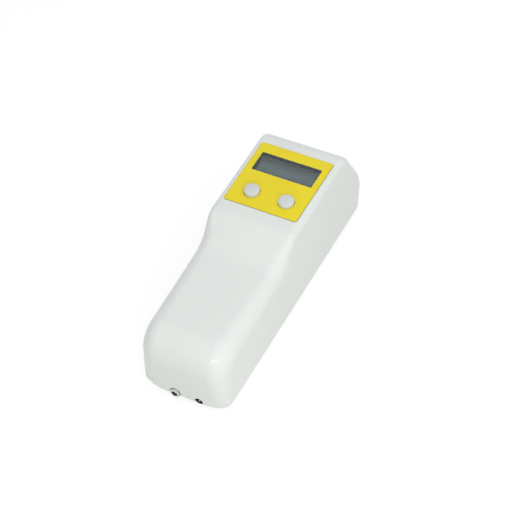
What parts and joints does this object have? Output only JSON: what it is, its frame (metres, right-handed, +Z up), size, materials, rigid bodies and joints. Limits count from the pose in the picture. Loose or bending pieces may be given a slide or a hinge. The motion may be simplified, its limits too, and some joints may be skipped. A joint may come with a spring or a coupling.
{
  "type": "handheld microchip scanner",
  "caption": "Handheld microchip scanner: off-white plastic case with a low handle, a raised head with a yellow panel, display window and domed push buttons, and sockets in the end.",
  "frame": {"origin": "on the flat underside, under the middle of the overall box", "axes": "+X across the case to the charging socket's side, +Y along the case from the socket end to the nose, +Z up to the panel"},
  "size_m": [0.072, 0.2296, 0.0805],
  "materials": {
    "case_plastic": "glossy off-white moulded plastic",
    "button_plastic": "glossy pale grey moulded plastic",
    "panel_film": "satin yellow printed film",
    "clear_pane": "clear polished pane",
    "display_glass": "dark grey display glass",
    "black_plastic": "black moulded plastic",
    "strip_rubber": "grey elastomer",
    "pad_foam": "grey foam",
    "switch_steel": "drawn steel can",
    "screw_steel": "zinc-plated steel",
    "board_laminate": "green lacquered laminate",
    "header_plastic": "natural nylon",
    "coil_copper": "lacquered copper wire",
    "cell_wrap": "blue shrink sleeve",
    "plated_metal": "nickel plate",
    "lead_sleeve": "black lead insulation"
  },
  "bodies": {
    "case": {"upper_shell": "case_plastic", "lower_shell": "case_plastic", "panel_overlay": "panel_film", "display_window": "clear_pane", "lcd_glass": "display_glass", "lcd_holder": "black_plastic", "contact_strips": "strip_rubber", "left_switch": "switch_steel", "right_switch": "switch_steel", "main_board": "board_laminate", "processor_chip": "black_plastic", "driver_chips": "black_plastic", "crystal_can": "switch_steel", "sounder": "black_plastic", "board_headers": "header_plastic", "board_screws": "screw_steel", "case_screws": "screw_steel", "coil_former": "black_plastic", "reader_coil": "coil_copper", "coil_screws": "screw_steel", "reader_board": "board_laminate", "reader_chips": "black_plastic", "reader_headers": "header_plastic", "reader_screws": "screw_steel", "battery_cells": "cell_wrap", "cell_links": "plated_metal", "battery_pad": "pad_foam", "battery_clamp": "black_plastic", "clamp_screws": "screw_steel", "jack_body": "black_plastic", "jack_bush": "plated_metal", "jack_nut": "plated_metal", "jack_lugs": "plated_metal", "charge_body": "black_plastic", "charge_pin": "plated_metal", "charge_lugs": "plated_metal", "battery_leads": "lead_sleeve", "charge_lead": "lead_sleeve", "data_lead": "lead_sleeve", "coil_lead": "coil_copper", "link_lead": "lead_sleeve"},
    "left_key": {"left_button": "button_plastic", "left_plunger": "black_plastic"},
    "right_key": {"right_button": "button_plastic", "right_plunger": "black_plastic"}
  },
  "joints": [
    {"name": "left_press", "type": "slide", "parent": "case", "child": "left_key", "axis": [0, 0, -1], "range_m": [0, 0.0005], "stiffness_N_per_m": 3000},
    {"name": "right_press", "type": "slide", "parent": "case", "child": "right_key", "axis": [0, 0, -1], "range_m": [0, 0.0005], "stiffness_N_per_m": 3000}
  ]
}
